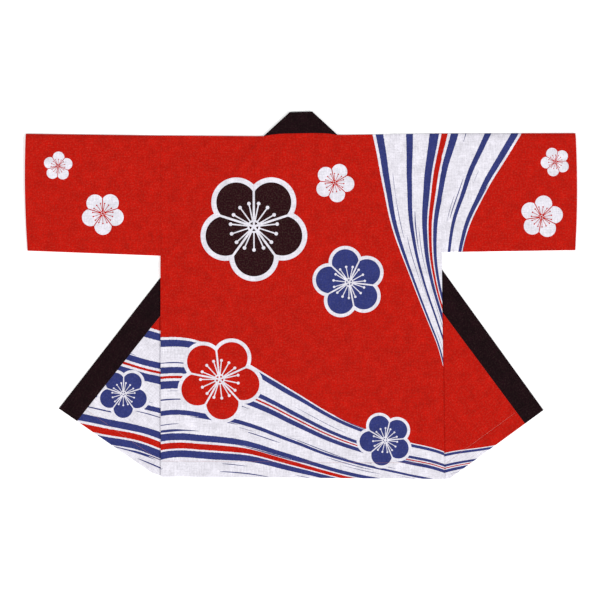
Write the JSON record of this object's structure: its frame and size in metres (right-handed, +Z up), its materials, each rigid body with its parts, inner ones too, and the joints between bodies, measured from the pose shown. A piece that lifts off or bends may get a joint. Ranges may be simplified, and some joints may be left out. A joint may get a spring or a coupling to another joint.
{
  "type": "happi coat",
  "caption": "Straight-cut cotton festival coat with tube sleeves and a black collar band, laid flat with its back up and its fronts folded out past the side seams.",
  "frame": {"origin": "middle of the coat's outline, on the surface that it lies on", "axes": "+X from the left cuff to the right cuff, +Y from the hem to the collar, +Z up from the surface"},
  "size_m": [1.2865, 0.858, 0.0036],
  "materials": {
    "red_cotton": "printed plain-weave cotton, matt",
    "black_cotton": "plain-weave cotton, matt"
  },
  "bodies": {
    "root": {"back": "red_cotton", "front_left": "red_cotton", "front_right": "red_cotton", "sleeve_left": "red_cotton", "sleeve_right": "red_cotton", "collar": "black_cotton"}
  },
  "joints": []
}
